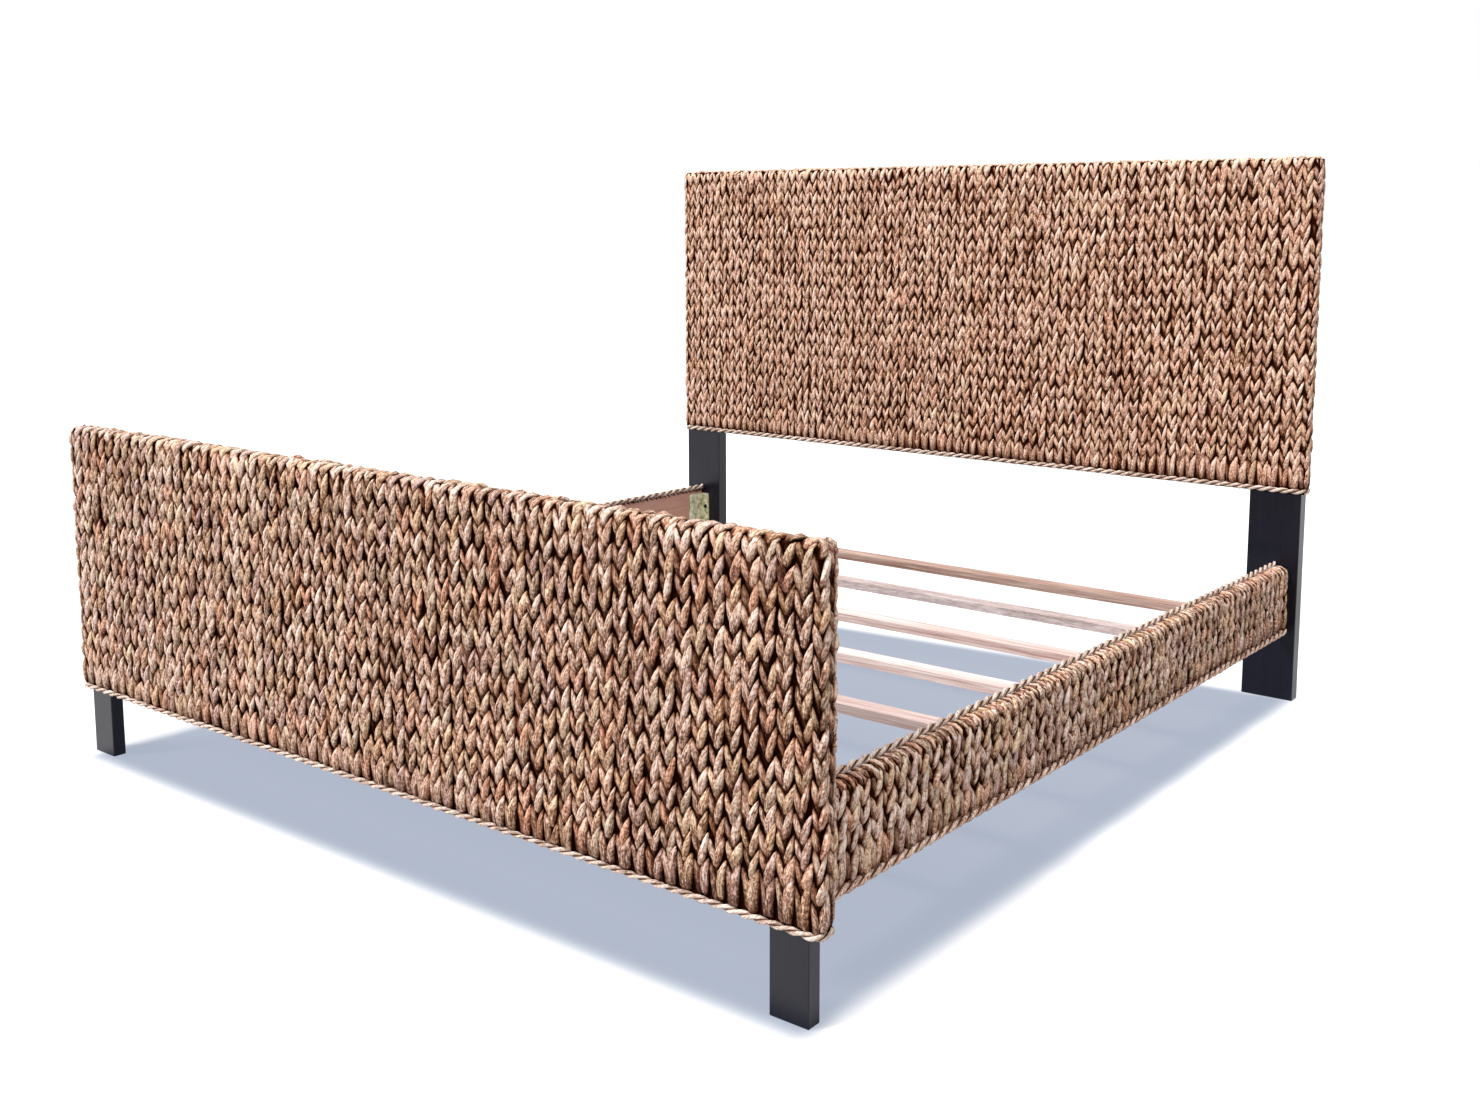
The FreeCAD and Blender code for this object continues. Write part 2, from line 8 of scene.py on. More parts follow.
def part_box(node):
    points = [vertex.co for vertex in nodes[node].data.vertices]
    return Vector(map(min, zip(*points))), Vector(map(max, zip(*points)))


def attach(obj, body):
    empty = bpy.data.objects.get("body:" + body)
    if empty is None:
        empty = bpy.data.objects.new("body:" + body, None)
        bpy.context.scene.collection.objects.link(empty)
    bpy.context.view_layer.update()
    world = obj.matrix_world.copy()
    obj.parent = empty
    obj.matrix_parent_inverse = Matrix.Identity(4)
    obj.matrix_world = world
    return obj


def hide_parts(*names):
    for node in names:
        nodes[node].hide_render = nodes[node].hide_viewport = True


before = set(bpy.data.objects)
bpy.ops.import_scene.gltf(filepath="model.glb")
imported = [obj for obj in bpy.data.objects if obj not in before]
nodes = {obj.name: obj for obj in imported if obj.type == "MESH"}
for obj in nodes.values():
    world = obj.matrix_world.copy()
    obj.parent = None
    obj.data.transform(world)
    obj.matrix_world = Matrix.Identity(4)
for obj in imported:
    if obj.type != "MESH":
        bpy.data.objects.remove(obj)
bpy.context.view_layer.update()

mm = 0.001  # plaits and ropes are laid out in millimetres, and turned to metres when placed
tiny = 1e-6


def srgb(hexColour):  # a colour as a painter would pick it, turned to the linear values that light needs
    parts = [int(hexColour[i:i + 2], 16) / 255 for i in (1, 3, 5)]
    linear = [p / 12.92 if p <= 0.04045 else ((p + 0.055) / 1.055) ** 2.4 for p in parts]
    return (*linear, 1.0)


def addNode(tree, kind, sockets=(), stops=(), **settings):
    # sockets: (input, a value or the node or output that feeds it); stops: a ramp's (position, hex colour)
    made = tree.nodes.new("ShaderNode" + kind)
    for name, value in settings.items():
        setattr(made, name, value)
    for name, value in sockets:
        source = value.outputs[0] if isinstance(value, bpy.types.Node) else value
        if isinstance(source, bpy.types.NodeSocket):
            tree.links.new(source, made.inputs[name])
        else:
            made.inputs[name].default_value = source
    for index, (position, colour) in enumerate(stops):
        elements = made.color_ramp.elements
        element = elements[index] if index < 2 else elements.new(position)
        element.position, element.color = position, srgb(colour)
    return made


def newMaterial(name, diffuse):
    material = bpy.data.materials.new(name)
    material.use_nodes = True
    material.diffuse_color = srgb(diffuse)
    material.node_tree.nodes.clear()
    return material, material.node_tree


# Dried water hyacinth, split and plaited: satin, pinkish tan, ribbed along each strand by its dry veins.
plaitFinish = {
    # Noises that follow the strand: width and length in mm, share of the colour, share of the relief.
    # The real veins are about 0.5 mm wide and are drawn coarser, so that they show.
    "patterns": {
        "veins": (1.5, 26.0, 2.0, 1.0),
        "creases": (3.0, 6.0, 2.4, 1.4),
        "blotches": (10.0, 20.0, 0.6, 0.0),
    },
    "patternDetail": 3.0, "patternRoughness": 0.65,
    "reliefDepth": 0.0018,
    "tones": [(0.0, "#45230F"), (1.0, "#FBE6D9"), (0.25, "#84583F"), (0.5, "#BF977F"), (0.75, "#E6C8B5")],
    "tints": [(0.0, "#FFFFFF"), (0.98, "#FFE4D2"), (0.42, "#F4F3E4"), (0.56, "#FFF4EA"), (0.68, "#EEE9EF"),
              (0.77, "#E6E8E0"), (0.85, "#FFF7E2"), (0.93, "#FFEBE0")],  # one leaf is greyer, another pinker
    "hollow": [(0.0, "#3C1A0B"), (1.0, "#FFFFFF"), (0.5, "#BEA492")],  # painted shade: deep down it is drawn dark and warm
    "sheen": 0.35,  # of the outermost leaves, fading with the painted shade so that the hollows are dull
    "roughness": (0.5, 0.75),  # from the darkest to the palest leaf
}


def plaitMaterial(name, finish):
    material, tree = newMaterial(name, finish["tones"][3][1])
    path = addNode(tree, "Attribute", attribute_name="fibrePath").outputs["Vector"]
    strand = addNode(tree, "Attribute", attribute_name="strandToneAndShade").outputs["Vector"]
    shade, openness, hue = addNode(tree, "SeparateXYZ", [(0, strand)]).outputs
    relief = 0.0
    for width, length, colourShare, reliefShare in finish["patterns"].values():
        scale = (1 / width, 1 / length, 1.0)
        stretched = addNode(tree, "VectorMath", [(0, path), (1, scale)], operation="MULTIPLY")
        noise = addNode(tree, "TexNoise", [("Vector", stretched), ("Scale", 1.0),
                                           ("Detail", finish["patternDetail"]),
                                           ("Roughness", finish["patternRoughness"])])
        swing = addNode(tree, "Math", [(0, noise), (1, colourShare), (2, -colourShare / 2)],
                        operation="MULTIPLY_ADD")
        shade = addNode(tree, "Math", [(0, shade), (1, swing)], operation="ADD")
        relief = addNode(tree, "Math", [(0, noise), (1, reliefShare), (2, relief)], operation="MULTIPLY_ADD")
    plain = addNode(tree, "ValToRGB", [("Fac", shade)], finish["tones"])
    tint = addNode(tree, "ValToRGB", [("Fac", hue)], finish["tints"])
    tint.color_ramp.interpolation = "CONSTANT"
    tinted = addNode(tree, "Mix", [(0, 1.0), (6, plain), (7, tint)], data_type="RGBA", blend_type="MULTIPLY")
    # painted shade: where a leaf lies deep, its colour is darkened and its sheen dulled
    depth = addNode(tree, "MapRange", [(0, openness), (1, 0.0), (2, 1.0)], interpolation_type="SMOOTHSTEP")
    hollow = addNode(tree, "ValToRGB", [("Fac", depth)], finish["hollow"])
    colour = addNode(tree, "Mix", [(0, 1.0), (6, tinted.outputs[2]), (7, hollow)],
                     data_type="RGBA", blend_type="MULTIPLY")
    sheen = addNode(tree, "MapRange", [(0, depth), (3, 0.0), (4, finish["sheen"])])
    rough = addNode(tree, "MapRange", [(0, shade), (3, finish["roughness"][0]), (4, finish["roughness"][1])])
    bump = addNode(tree, "Bump", [("Height", relief), ("Distance", finish["reliefDepth"])])
    shader = addNode(tree, "BsdfPrincipled", [("Base Color", colour.outputs[2]), ("Roughness", rough),
                                              ("Specular IOR Level", sheen), ("Normal", bump)])
    addNode(tree, "OutputMaterial", [("Surface", shader)])
    return material


# What all woods share: fine grain noise, and a broad figure that is the same noise drawn larger.
woodPattern = {
    "grainDetail": 4.0, "grainRoughness": 0.6, "grainDistortion": 0.6, "bumpStrength": 0.6,
    "figureScale": 0.12, "figureDetail": 2.0, "figureShare": 0.4,
    "roughnessSwing": 0.08, "gloss": 0.5,
}


def woodMaterial(name, look):  # look: colours dark to light, grain width and length in mm, the grain's axis
    material, tree = newMaterial(name, look["colours"][1][1])
    coordinates = addNode(tree, "TexCoord").outputs["Object"]
    across, along = 1000 / look["grainWidth"], 1000 / look["grainLength"]
    scale = [across, across, across]
    scale["XYZ".index(look["axis"])] = along
    path = addNode(tree, "VectorMath", [(0, coordinates), (1, scale)], operation="MULTIPLY")
    grain = addNode(tree, "TexNoise", [("Vector", path), ("Scale", 1.0),
                                       ("Detail", woodPattern["grainDetail"]),
                                       ("Roughness", woodPattern["grainRoughness"]),
                                       ("Distortion", woodPattern["grainDistortion"])])
    larger = (woodPattern["figureScale"],) * 3
    broad = addNode(tree, "VectorMath", [(0, path), (1, larger)], operation="MULTIPLY")
    figure = addNode(tree, "TexNoise", [("Vector", broad), ("Scale", 1.0),
                                        ("Detail", woodPattern["figureDetail"])])
    shade = addNode(tree, "Mix", [(0, woodPattern["figureShare"]), (2, grain), (3, figure)],
                    data_type="FLOAT")
    colour = addNode(tree, "ValToRGB", [("Fac", shade)], look["colours"])
    swing = woodPattern["roughnessSwing"]
    rough = addNode(tree, "MapRange", [(0, grain), (3, look["roughness"] - swing),
                                       (4, look["roughness"] + swing)])
    bump = addNode(tree, "Bump", [("Height", grain), ("Distance", look["grainDepth"]),
                                  ("Strength", woodPattern["bumpStrength"])])
    gloss = look.get("gloss", woodPattern["gloss"])
    shader = addNode(tree, "BsdfPrincipled", [("Base Color", colour), ("Roughness", rough),
                                              ("Normal", bump), ("Specular IOR Level", gloss)])
    addNode(tree, "OutputMaterial", [("Surface", shader)])
    return material


print("materials")
woods = {
    # Opaque lacquer sprayed on wood: near black, satin, with the grain just telegraphing through.
    "blackLacquer": {"axis": "Z", "grainWidth": 5.0, "grainLength": 140.0, "grainDepth": 0.00012,
                     "roughness": 0.3, "gloss": 0.32,
                     "colours": [(0.3, "#06060F"), (0.7, "#10101E")]},
    # Rubberwood rail, planed and stained reddish brown: matt, with long straight figure.
    "stainedRubberwood": {"axis": "Y", "grainWidth": 5.0, "grainLength": 160.0, "grainDepth": 0.0002,
                          "roughness": 0.55,
                          "colours": [(0.3, "#BA836E"), (0.75, "#ECB9A3"), (0.55, "#DAA28C")]},
    # Kiln-dried poplar slats, planed: very pale and a little pink, faint straight grain.
    "planedPoplar": {"axis": "X", "grainWidth": 4.0, "grainLength": 180.0, "grainDepth": 0.00015,
                     "roughness": 0.6,
                     "colours": [(0.38, "#B08C82"), (0.64, "#EEE2DE"), (0.51, "#D8C2BC")]},
    # A slat with more heartwood in it: tan, streaked along its length.
    "heartPoplar": {"axis": "X", "grainWidth": 4.0, "grainLength": 150.0, "grainDepth": 0.00015,
                    "roughness": 0.6,
                    "colours": [(0.38, "#7C5747"), (0.64, "#CDB7AC"), (0.51, "#A98A7D")]},
    # A slat of greyer sapwood, short-flecked.
    "greyPoplar": {"axis": "X", "grainWidth": 3.0, "grainLength": 30.0, "grainDepth": 0.00015,
                   "roughness": 0.6,
                   "colours": [(0.38, "#8F7C78"), (0.64, "#E0D3D1"), (0.51, "#BFAEAC")]},
    # Sawn pine of the hidden frame: pale yellow, open grain.
    "sawnPine": {"axis": "X", "grainWidth": 7.0, "grainLength": 220.0, "grainDepth": 0.0003,
                 "roughness": 0.7,
                 "colours": [(0.3, "#B98D5C"), (0.8, "#E8CCA0"), (0.55, "#D8B380")]},
    # Rotary-cut plywood skin: broad wandering figure, dull.
    "rotaryPlywood": {"axis": "X", "grainWidth": 22.0, "grainLength": 260.0, "grainDepth": 0.0002,
                      "roughness": 0.65,
                      "colours": [(0.3, "#A67C52"), (0.8, "#D8B68A"), (0.55, "#C49C6C")]},
    # Turned beech dowel: fine short flecks, smooth.
    "turnedBeech": {"axis": "X", "grainWidth": 1.5, "grainLength": 12.0, "grainDepth": 0.0001,
                    "roughness": 0.5,
                    "colours": [(0.3, "#B5855E"), (0.8, "#DEBB95"), (0.55, "#CFA27A")]},
}
finishes = {name: woodMaterial(name, look) for name, look in woods.items()}
plaitedHyacinth = plaitMaterial("plaitedHyacinth", plaitFinish)

# The headboard's leaves are warmer and more alike.
headTones = [(0.0, "#46220D"), (1.0, "#FFE4D2"), (0.25, "#8A583D"), (0.5, "#C5947A"), (0.75, "#EEC8B0")]
headTints = [(0.0, "#FFFFFF"), (0.975, "#FFF0E6"), (0.45, "#F8F7EC"), (0.58, "#FFF5ED"), (0.70, "#F6F0F1"),
             (0.79, "#F3F3E8"), (0.87, "#FFFAF0"), (0.94, "#FFF2EA")]
warmHyacinth = plaitMaterial("warmPlaitedHyacinth", dict(plaitFinish, tones=headTones, tints=headTints))

# The ropes are twisted from paler leaves.
ropeTones = [(0.0, "#6E4E3E"), (1.0, "#F7EAE0"), (0.25, "#A88976"), (0.5, "#CDB19F"), (0.75, "#E6D2C4")]
twistedHyacinth = plaitMaterial("twistedHyacinth", dict(plaitFinish, tones=ropeTones))

# A dark brown sheet over the frame, seen only in the gaps between plaits: painted shade standing in for the
# shadowed depths of the braid, dull and nearly black.
shadeSheetFinish = {"thread": 2.5, "detail": 2.0, "relief": 0.0006, "roughness": 0.9,
                 "diffuse": "#24130B", "colours": [(0.3, "#120502"), (0.7, "#321405")]}


def shadeSheetMaterial(name, finish):
    material, tree = newMaterial(name, finish["diffuse"])
    coordinates = addNode(tree, "TexCoord").outputs["Object"]
    threads = addNode(tree, "TexNoise", [("Vector", coordinates), ("Scale", 1000 / finish["thread"]),
                                         ("Detail", finish["detail"])])
    colour = addNode(tree, "ValToRGB", [("Fac", threads)], finish["colours"])
    bump = addNode(tree, "Bump", [("Height", threads), ("Distance", finish["relief"])])
    shader = addNode(tree, "BsdfPrincipled", [("Base Color", colour), ("Roughness", finish["roughness"]),
                                              ("Normal", bump), ("Specular IOR Level", 0.0)])
    addNode(tree, "OutputMaterial", [("Surface", shader)])
    return material


# Zinc-plated steel with a worn yellow chromate dip: cloudy pale olive, half bright.
zincFinish = {"cloud": 14.0, "detail": 4.0, "roughness": (0.4, 0.65), "diffuse": "#C2BD9C",
              "colours": [(0.3, "#B0AB84"), (0.7, "#FBFAEC"), (0.5, "#E6E2C6")]}


def zincMaterial(name, finish):
    material, tree = newMaterial(name, finish["diffuse"])
    coordinates = addNode(tree, "TexCoord").outputs["Object"]
    clouds = addNode(tree, "TexNoise", [("Vector", coordinates), ("Scale", 1000 / finish["cloud"]),
                                        ("Detail", finish["detail"])])
    colour = addNode(tree, "ValToRGB", [("Fac", clouds)], finish["colours"])
    rough = addNode(tree, "MapRange", [(0, clouds), (3, finish["roughness"][0]),
                                       (4, finish["roughness"][1])])
    shader = addNode(tree, "BsdfPrincipled", [("Base Color", colour), ("Roughness", rough),
                                              ("Metallic", 1.0)])
    addNode(tree, "OutputMaterial", [("Surface", shader)])
    return material


darkShadeSheet = shadeSheetMaterial("darkShadeSheet", shadeSheetFinish)
yellowZinc = zincMaterial("yellowZinc", zincFinish)

print("carried-over pieces")
carried = {  # part of a node's name: its finish; the brackets, bolts and screws that are left are zinc-plated
    "headboard_leg": "blackLacquer", "footboard_leg": "blackLacquer",
    "side_rail_board": "stainedRubberwood", "slat_ledger": "stainedRubberwood",
    "slat_1": "planedPoplar", "slat_2": "planedPoplar", "slat_3": "planedPoplar",
    "slat_4": "greyPoplar", "slat_5": "heartPoplar",
    "_plywood": "rotaryPlywood", "_dowels": "turnedBeech",
    "cross_board": "sawnPine", "mid_stile": "sawnPine", "end_lath": "sawnPine",
}
for name, piece in nodes.items():
    finish = next((finishes[f] for part, f in carried.items() if part in name), yellowZinc)
    for materialSlot in piece.material_slots:
        materialSlot.material = finish

# The two-stranded rope along a panel's lower edge, in mm: its height is what the photo shows.
trimRope = {
    "height": 13.0,
    "drop": -6.0,  # its lower edge, from that of the solid trim
    "middle": -4.2,  # its middle line, from the panel's face
    "lay": 62.0,  # the length of one full turn
    "steps": 14, "sides": 9,  # faces along a turn, and around a strand
    "hand": 1, "flat": 0.85,
}
headTrimRope = dict(trimRope, height=16.0)  # the headboard's is a little stouter
panelShape = {"round": 18.0, "cornerRound": 21.0}  # the edges, and the two top outer corners


def panelFrom(cover, trim, depth, rope):  # a panel's real places in mm, read from its two nodes
    low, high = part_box(cover)
    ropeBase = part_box(trim)[0].z / mm + rope["drop"]
    return dict(panelShape, depth=depth, halfWidth=high.x / mm, front=low.y / mm, back=high.y / mm,
                top=high.z / mm, base=ropeBase + rope["height"], ropeBase=ropeBase)


# A woven face is laid out flat and then bent over its panel: s runs to the right, v up and n outwards.
def overPanel(panel, s, v, n):  # up the front, over the top and down the back
    r = panel["round"]
    rise = panel["top"] - r - panel["base"]
    quarter = math.pi * r / 2
    flat = panel["back"] - panel["front"] - 2 * r
    turn = (np.clip(v - rise, 0, quarter) + np.clip(v - rise - quarter - flat, 0, quarter)) / r
    y = panel["front"] + r + np.clip(v - rise - quarter, 0, flat)
    z = panel["base"] + np.minimum(v, rise) - np.maximum(v - rise - 2 * quarter - flat, 0)
    return np.stack([s, y - (r + n) * np.cos(turn), z + (r + n) * np.sin(turn)], -1)


def aroundPanel(panel, s, v, n):  # once round the panel, from the middle of its back
    r = panel["round"]
    rise = panel["top"] - r - panel["base"]
    quarter = math.pi * r / 2
    a = panel["halfWidth"] - r
    b = (panel["back"] - panel["front"]) / 2 - r
    lengths = [a, quarter, 2 * b, quarter, 2 * a, quarter, 2 * b, quarter]
    starts = np.cumsum([0] + lengths)
    run = [np.clip(s - start, 0, length) for start, length in zip(starts, lengths)]
    last = np.maximum(s - starts[-1], 0)
    x = -run[0] + run[4] - last
    y = (panel["front"] + panel["back"]) / 2 + b - run[2] + run[6]
    turn = (run[1] + run[3] + run[5] + run[7]) / r
    lift = np.clip(v - rise, 0, quarter) / r
    out = (r + n) * np.cos(lift)
    z = panel["base"] + np.minimum(v, rise) + (r + n) * np.sin(lift)
    return np.stack([x - out * np.sin(turn), y + out * np.cos(turn), z], -1)


def easeCorners(panel, points):  # the woven cover is pulled rounder at its two top outer corners
    big, small = panel["cornerRound"], panel["round"]
    dx = np.abs(points[..., 0]) - (panel["halfWidth"] - big)
    dz = points[..., 2] - (panel["top"] - big)
    inside = (dx > 0) & (dz > 0)
    angle = np.arctan2(np.maximum(dz, tiny), np.maximum(dx, tiny))
    c = big - small
    cosine, sine = np.cos(angle), np.sin(angle)
    arc = c * (cosine + sine) + np.sqrt(np.maximum(small ** 2 - c ** 2 * (sine - cosine) ** 2, 0))
    upright = np.where(cosine * big < sine * c, big / np.maximum(sine, tiny), arc)
    square = np.where(sine * big < cosine * c, big / np.maximum(cosine, tiny), upright)
    factor = np.where(inside, big / square, 1.0)
    points[..., 0] += np.sign(points[..., 0]) * dx * (factor - 1) * inside
    points[..., 2] += dz * (factor - 1) * inside
    return points


def overRail(rail, s, v, n):  # up a rail's outer face and in over its top
    r = rail["round"]
    rise = rail["top"] - r - rail["base"]
    quarter = math.pi * r / 2
    turn = np.clip(v - rise, 0, quarter) / r
    x = rail["outer"] - r - np.maximum(v - rise - quarter, 0)
    z = rail["base"] + np.minimum(v, rise)
    side = rail["side"]
    return np.stack([side * (x + (r + n) * np.cos(turn)), side * s, z + (r + n) * np.sin(turn)], -1)


def spindles(count, sides, rings):  # many copies of one small closed spindle, in one mesh
    bm = bmesh.new()
    bmesh.ops.create_uvsphere(bm, u_segments=sides, v_segments=rings, radius=1)
    one = bpy.data.meshes.new("spindle")
    bm.to_mesh(one)
    bm.free()
    bm = bmesh.new()
    for _ in range(count):
        bm.from_mesh(one)
    many = bpy.data.meshes.new("spindles")
    bm.to_mesh(many)
    bm.free()
    points = np.empty(len(one.vertices) * 3)
    one.vertices.foreach_get("co", points)
    bpy.data.meshes.remove(one)
    return many, points.reshape(-1, 3)


def finishPiece(name, mesh, points, path, tone, material, slot, *stoodFor):
    # path: places along and across the strand; tone: the leaf's own tone with painted light and shade added,
    # how open it lies, which sets the painted shade of its hollows, and its hue
    mesh.vertices.foreach_set("co", (points.reshape(-1, 3) * mm).ravel().astype(np.float32))
    for label, values in (("fibrePath", path), ("strandToneAndShade", tone)):
        layer = mesh.attributes.new(label, "FLOAT_VECTOR", "POINT")
        layer.data.foreach_set("vector", values.reshape(-1).astype(np.float32))
    mesh.update()
    mesh.shade_smooth()
    mesh.materials.append(material)
    mesh.name = name
    piece = bpy.data.objects.new(name, mesh)
    bpy.context.collection.objects.link(piece)
    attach(piece, "root")
    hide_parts(*stoodFor)


# An arm of a stitch, from its tail (t = -1), tucked away at the column's middle, to its tip (t = 1) at the
# edge. The right arm is a narrow round leaf in front, and the left arm is a broad flat one behind it.
arms = {
    1: {
        "up": 0.64, "down": 0.98,  # from the stitch's middle to the two ends, as shares of the row height
        "width": 1.04,
        "taper": ([-1, -0.6, 0, 0.5, 0.8, 1], [0.85, 1.1, 1.08, 0.9, 0.72, 0.55]),
        # shares of the column's width
        "sideways": ([-1, -0.5, 0, 0.5, 1], [-0.04, 0.06, 0.18, 0.32, 0.47]),
        # shares of the thickness
        "lift": ([-1, -0.75, -0.45, 0.3, 0.8, 1], [-0.5, -0.22, 0.0, 0.08, 0.04, -0.08]),
        # painted light and shade: the arm is drawn darker towards its tucked tail and paler towards its tip
        "tone": ([-1, -0.6, 0, 1], [-0.3, -0.1, 0.02, 0.2]),
        "least": ([-1, 1], [0.0, 0.0]),  # how much of the leaf's own colour its hollows keep under the painted shade
    },
    -1: {
        "up": 0.52, "down": 1.3,
        "width": 1.16,
        "taper": ([-1, -0.5, 0, 0.3, 0.6, 0.8, 1], [0.9, 0.98, 1.0, 1.04, 1.0, 0.86, 0.62]),
        "sideways": ([-1, -0.33, 0, 0.5, 1], [0.04, 0.13, 0.2, 0.33, 0.46]),
        "lift": ([-1, -0.5, -0.2, 0, 0.3, 0.8, 1], [-0.6, -0.58, -0.5, -0.38, -0.16, -0.1, -0.2]),
        # painted shade: the arm behind is drawn darker than the one in front, most of all at its tail
        "tone": ([-1, -0.2, 0.15, 1], [-0.34, -0.28, -0.08, 0.14]),
        "least": ([-1, -0.2, 0.1, 1], [0.2, 0.2, 0.0, 0.0]),
    },
}
plait = {
    "tilt": 10.0,  # degrees that an arm is rolled about its own length
    "proud": 1.4,  # mm that it stands past the panel's face
    "kink": 0.022, "kinkTurn": 2.6,  # a slight bend, as a share of the column's width
    "wave": 0.22,  # how far the rows wander up and down, as a share of the row height
    "waveLength": (310.0, 97.0), "toneWave": 0.03, "toneWaveLength": 60.0,
    "lowest": 0.38,  # the lowest stitch's middle, above the base
    "lowestReach": 0.66, "lowestStretch": (0.7, 2.0),  # its arms end at the rope below
    # painted shade: the lowest stitches are drawn darker
    "lowestWidth": 1.14, "lowestShade": -0.08,
    "lowestSideways": 0.17, "lowestLift": -0.25,  # they hang straighter, side by side
    "edgeDive": 0.3, "edgePull": 0.85,  # arms that reach past the woven face are bent in and back
    "fullDepth": 0.14, "darkDepth": 0.52,  # painted shade, in thicknesses: colour is full to the first, then turns dark
    "paintedTopLight": 0.16, "topMargin": 12.0,  # painted light: leaves are drawn paler over the top, where light falls from above, from this many mm before it
    "endReach": 1.3,  # how far the end plaits go over the top, in quarter turns
}
# How much leaves differ by chance: standard deviations, as shares of the measure unless noted.
chance = {
    "start": 0.06, "rowTone": 0.022, "rowKeeps": 0.6,  # a row keeps some of its tone to the next column
    "columnTone": 0.02, "tone": 0.035, "otherLeaf": 0.45,  # how often the two arms are different leaves
    "width": (0.13, 0.75, 1.4), "thick": (0.12, 0.7, 1.3), "length": (0.09, 0.8, 1.25),  # with limits
    "tilt": 10.0,  # degrees
    "sideways": 0.04, "lift": 0.09, "slip": 0.085, "wrinkle": 0.04,
    "veinPlaces": 900,  # mm between which a leaf's veins start
}


def plaitRows(columns, look, low, high, random):
    # V stitches stand on each other in columns, and their rows run level from column to column
    rows = []
    pitch = look["pitch"]
    phase = random.uniform(0, 6, 3)
    rowCount = int((high - low) / pitch) + 3
    rowTone = random.normal(0, chance["rowTone"], rowCount)
    longWave, shortWave = plait["waveLength"]
    shortest, longest = plait["lowestStretch"]
    for centre, width in columns:
        drift = math.sin(centre / longWave + phase[0]) + 0.5 * math.sin(centre / shortWave + phase[1])
        start = low + pitch * (plait["wave"] * drift + random.normal(0, chance["start"]))
        columnTone = plait["toneWave"] * math.sin(centre / plait["toneWaveLength"] + phase[2])
        columnTone += random.normal(0, chance["columnTone"])
        first = math.floor((low - start) / pitch)
        for row in range(rowCount):
            rowTone[row] = chance["rowKeeps"] * rowTone[row] + random.normal(0, chance["rowTone"])
            hue = random.uniform(0, 1)
            v = start + (first + row) * pitch
            if v < low + plait["lowest"] * pitch or v > high:
                continue
            stretch = 1.0
            if v < low + (1 + plait["lowest"]) * pitch:
                stretch = min(max((v - low) / (plait["lowestReach"] * pitch), shortest), longest)
            for side in (-1, 1):
                if random.uniform() < chance["otherLeaf"]:
                    hue = random.uniform(0, 1)
                tone = look["tone"] + columnTone + rowTone[row] + random.normal(0, chance["tone"])
                # painted shade on the lowest stitches
                tone += plait["lowestShade"] * (stretch != 1)
                rows.append((centre, v, side, width, tone, hue, low, high, stretch))
    return np.array(rows)


def jitter(random, count, spread):
    return random.normal(0, spread, (count, 1))


def varied(random, count, spread, least, most):
    return np.clip(1 + jitter(random, count, spread), least, most)


def shapeLobes(rows, look, template, random):
    count = len(rows)
    t = template[None, :, 2]
    side, width = rows[:, 2, None], rows[:, 3, None]
    pitch, thick = look["pitch"], look["thick"]
    stretch = rows[:, 8, None]

    def shaped(kind):
        return np.where(side > 0, np.interp(t, *arms[1][kind]), np.interp(t, *arms[-1][kind]))

    def ofSide(kind):
        return np.where(side > 0, arms[1][kind], arms[-1][kind])

    taper = shaped("taper")
    halfWidth = look["armShare"] / 2 * width * ofSide("width") * varied(random, count, *chance["width"])
    halfWidth = halfWidth * np.where(stretch != 1, plait["lowestWidth"], 1)
    halfThick = thick / 2 * varied(random, count, *chance["thick"])
    across = template[None, :, 0] * halfWidth * taper
    up = -template[None, :, 1] * halfThick * taper
    tilt = np.radians(side * plait["tilt"] + jitter(random, count, chance["tilt"]))
    x = across * np.cos(tilt) + up * np.sin(tilt)
    rise = up * np.cos(tilt) - across * np.sin(tilt)
    half = (ofSide("up") + ofSide("down")) / 2
    middle = (ofSide("up") - ofSide("down")) / 2
    along = pitch * (middle + half * t) * varied(random, count, *chance["length"])
    along = np.where(along < 0, along * stretch, along)
    kink = np.sin(t * plait["kinkTurn"] + random.uniform(0, 6, (count, 1))) * plait["kink"] * width
    lowest = (stretch != 1) & (t < 0)
    sideways = np.where(lowest, np.maximum(shaped("sideways"), plait["lowestSideways"]), shaped("sideways"))
    centreLine = side * width * (sideways + jitter(random, count, chance["sideways"])) + kink
    lift = np.where(lowest, np.maximum(shaped("lift"), plait["lowestLift"]), shaped("lift"))
    height = plait["proud"] + thick * (lift - 0.5) + jitter(random, count, chance["lift"]) * thick
    wrinkle = chance["wrinkle"] * thick
    s = rows[:, 0, None] + centreLine + x + random.normal(0, wrinkle, (count, template.shape[0]))
    v = rows[:, 1, None] + along + jitter(random, count, chance["slip"]) * pitch
    n = height + rise + random.normal(0, wrinkle, (count, template.shape[0]))
    low, high = rows[:, 6, None], rows[:, 7, None]
    under, over = np.maximum(low - v, 0), np.maximum(v - high, 0)
    n = n - plait["edgeDive"] * (under + over)
    v = v + plait["edgePull"] * (under - over)
    veins = random.uniform(0, chance["veinPlaces"], (count, 1))
    path = np.stack([across + 0 * t, along + 0 * across, veins + 0 * across], -1)
    # painted shade: a leaf is drawn darker the deeper it lies below the face
    openness = 1 + (n - plait["proud"] + plait["fullDepth"] * thick) / (plait["darkDepth"] * thick)
    openness = np.clip(openness, shaped("least"), 1)
    tone = np.stack([rows[:, 4, None] + shaped("tone") + 0 * across, openness,
                     rows[:, 5, None] + 0 * across], -1)
    return s, v, n, path, tone


def layPlaits(name, rows, look, place, random, node):
    mesh, template = spindles(len(rows), look["sides"], look["rings"])
    s, v, n, path, tone = shapeLobes(rows, look, template, random)
    finishPiece(name, mesh, place(s, v, n), path, tone, look["finish"], "woven_fibre", node)


def evenColumns(start, end, width):
    count = round((end - start) / width)
    real = (end - start) / count
    return [(start + (i + 0.5) * real, real) for i in range(count)]


